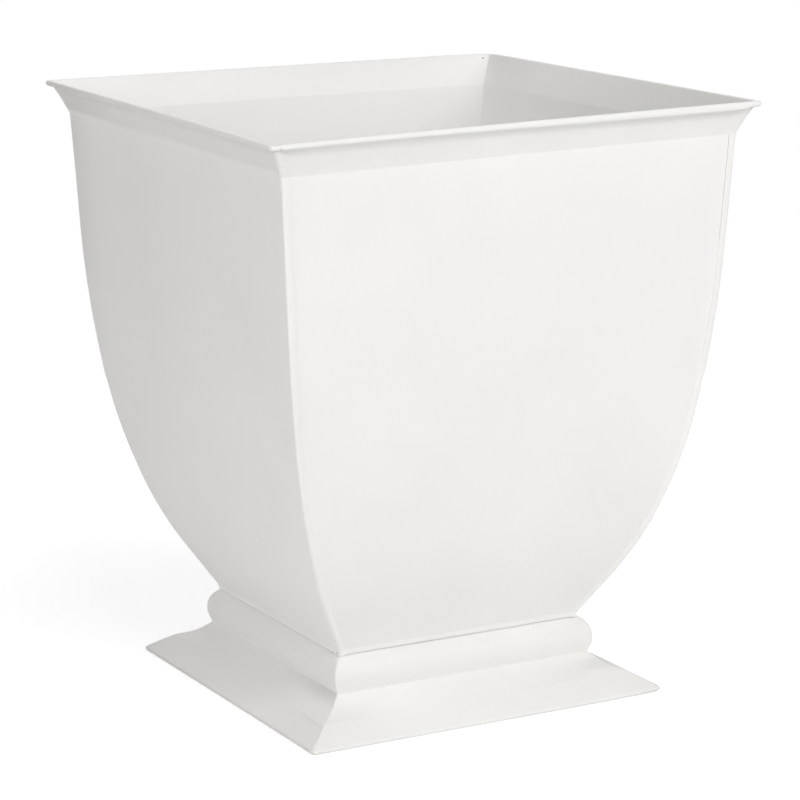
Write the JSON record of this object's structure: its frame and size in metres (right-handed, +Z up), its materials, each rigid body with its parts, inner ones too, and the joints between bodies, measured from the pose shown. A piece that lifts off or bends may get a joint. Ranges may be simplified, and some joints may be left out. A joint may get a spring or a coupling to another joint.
{
  "type": "outdoor planter",
  "caption": "Square outdoor planter in white powder-coated sheet metal: tapering bowed bowl, flared crown with a rolled edge, and a moulded pedestal foot.",
  "frame": {"origin": "middle of the foot, on the ground", "axes": "+Z up, -Y the front, +X to the right seen from the front; the side panels, whose corner flanges lap over the front and back, face -X and +X"},
  "size_m": [0.457, 0.457, 0.523],
  "materials": {
    "white_powder_coat": "satin white powder coat with a fine texture",
    "wire_steel": "plain drawn wire",
    "zinc_steel": "zinc plated"
  },
  "bodies": {
    "root": {"bowl_corner_welds": "white_powder_coat", "bowl_floor": "white_powder_coat", "bowl_panel_back": "white_powder_coat", "bowl_panel_front": "white_powder_coat", "bowl_panel_left": "white_powder_coat", "bowl_panel_right": "white_powder_coat", "crown_back": "white_powder_coat", "crown_corner_welds": "white_powder_coat", "crown_front": "white_powder_coat", "crown_left": "white_powder_coat", "crown_right": "white_powder_coat", "crown_seam_welds": "white_powder_coat", "floor_seam_welds": "white_powder_coat", "foot_corner_welds": "white_powder_coat", "foot_deck": "white_powder_coat", "foot_moulding_back": "white_powder_coat", "foot_moulding_front": "white_powder_coat", "foot_moulding_left": "white_powder_coat", "foot_moulding_right": "white_powder_coat", "joint_bolts": "zinc_steel", "joint_nuts": "zinc_steel", "joint_washers": "zinc_steel", "rim_wire_back": "wire_steel", "rim_wire_front": "wire_steel", "rim_wire_left": "wire_steel", "rim_wire_right": "wire_steel"}
  },
  "joints": []
}
